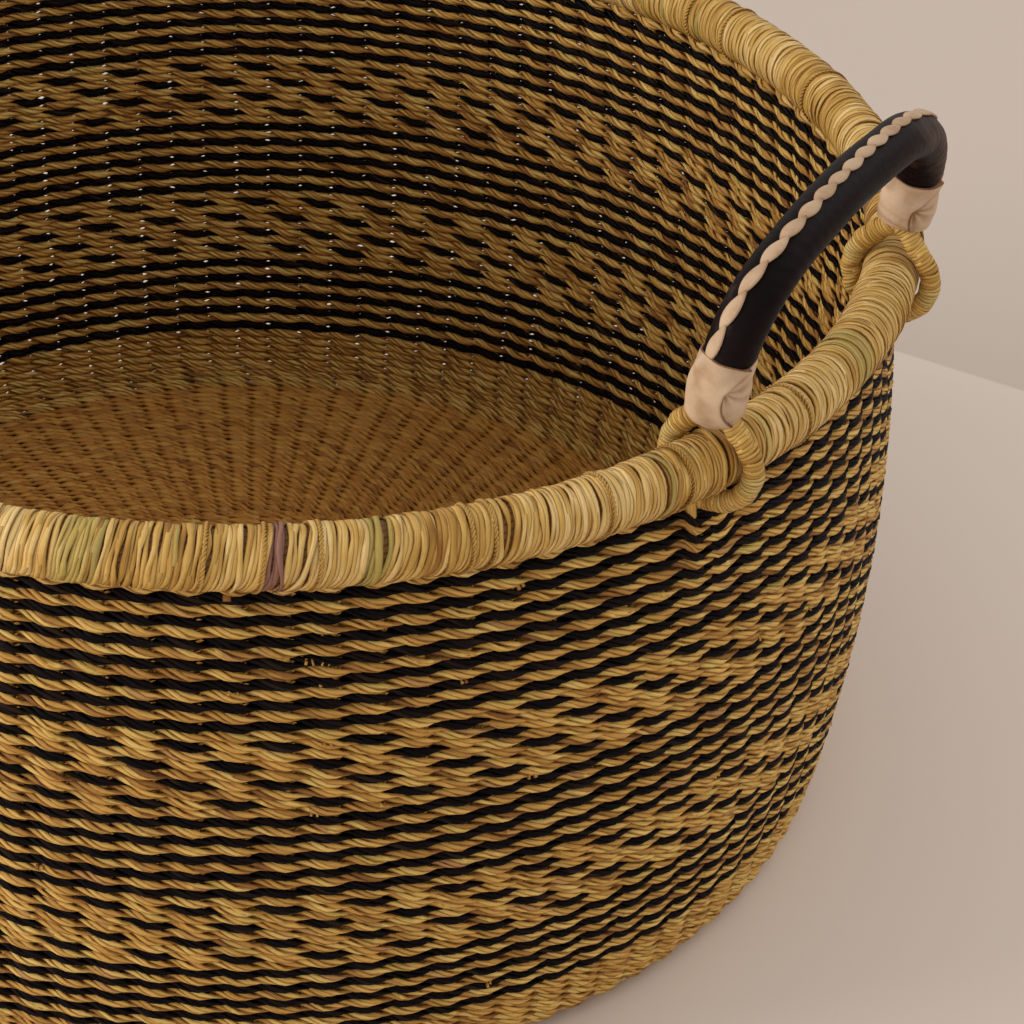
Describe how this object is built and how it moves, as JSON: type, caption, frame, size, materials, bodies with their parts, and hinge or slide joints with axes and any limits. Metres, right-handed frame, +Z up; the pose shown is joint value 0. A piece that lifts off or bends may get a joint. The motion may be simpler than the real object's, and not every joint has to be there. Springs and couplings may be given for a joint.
{
  "type": "woven basket",
  "caption": "Round open basket of twined grass with striped wall, thick wrapped rim and leather-covered side handles that swing on loops round the rim.",
  "frame": {"origin": "centre of the basket's flat underside, on the surface that it stands on", "axes": "+Z up along the basket's axis, +X towards the handle that the picture shows"},
  "size_m": [0.5006, 0.5006, 0.3189],
  "materials": {
    "natural_grass": "undyed twined grass straw, satin",
    "striped_grass": "twined grass, rows of dyed black and undyed straw",
    "ticked_grass": "twined undyed grass with short black ticks",
    "rim_grass": "closely wrapped grass straw, satin",
    "black_leather": "soft black leather, low gloss",
    "cream_leather": "undyed cream leather, matt"
  },
  "bodies": {
    "basket": {"base_start": "natural_grass", "base_weave": "natural_grass", "foot_band": "natural_grass", "lower_stripe_band": "striped_grass", "lower_tick_band": "ticked_grass", "middle_stripe_band": "striped_grass", "upper_tick_band": "ticked_grass", "upper_stripe_band": "striped_grass", "lashing_row": "natural_grass", "rim_bundle": "natural_grass", "rim_wrapping": "rim_grass"},
    "right_handle": {"right_handle_core": "natural_grass", "right_handle_sleeve": "black_leather", "right_handle_lace": "cream_leather", "right_near_cuff": "cream_leather", "right_far_cuff": "cream_leather", "right_near_loop": "natural_grass", "right_far_loop": "natural_grass", "right_near_loop_wrap": "rim_grass", "right_far_loop_wrap": "rim_grass"},
    "left_handle": {"left_handle_core": "natural_grass", "left_handle_sleeve": "black_leather", "left_handle_lace": "cream_leather", "left_near_cuff": "cream_leather", "left_far_cuff": "cream_leather", "left_near_loop": "natural_grass", "left_far_loop": "natural_grass", "left_near_loop_wrap": "rim_grass", "left_far_loop_wrap": "rim_grass"}
  },
  "joints": [
    {"name": "right_handle_swing", "type": "hinge", "parent": "basket", "child": "right_handle", "pos_m": [0.22889, 0, 0.233], "axis": [0, 1, 0], "range_deg": [-60, 80]},
    {"name": "left_handle_swing", "type": "hinge", "parent": "basket", "child": "left_handle", "pos_m": [-0.22889, 0, 0.233], "axis": [0, -1, 0], "range_deg": [-60, 80]}
  ]
}
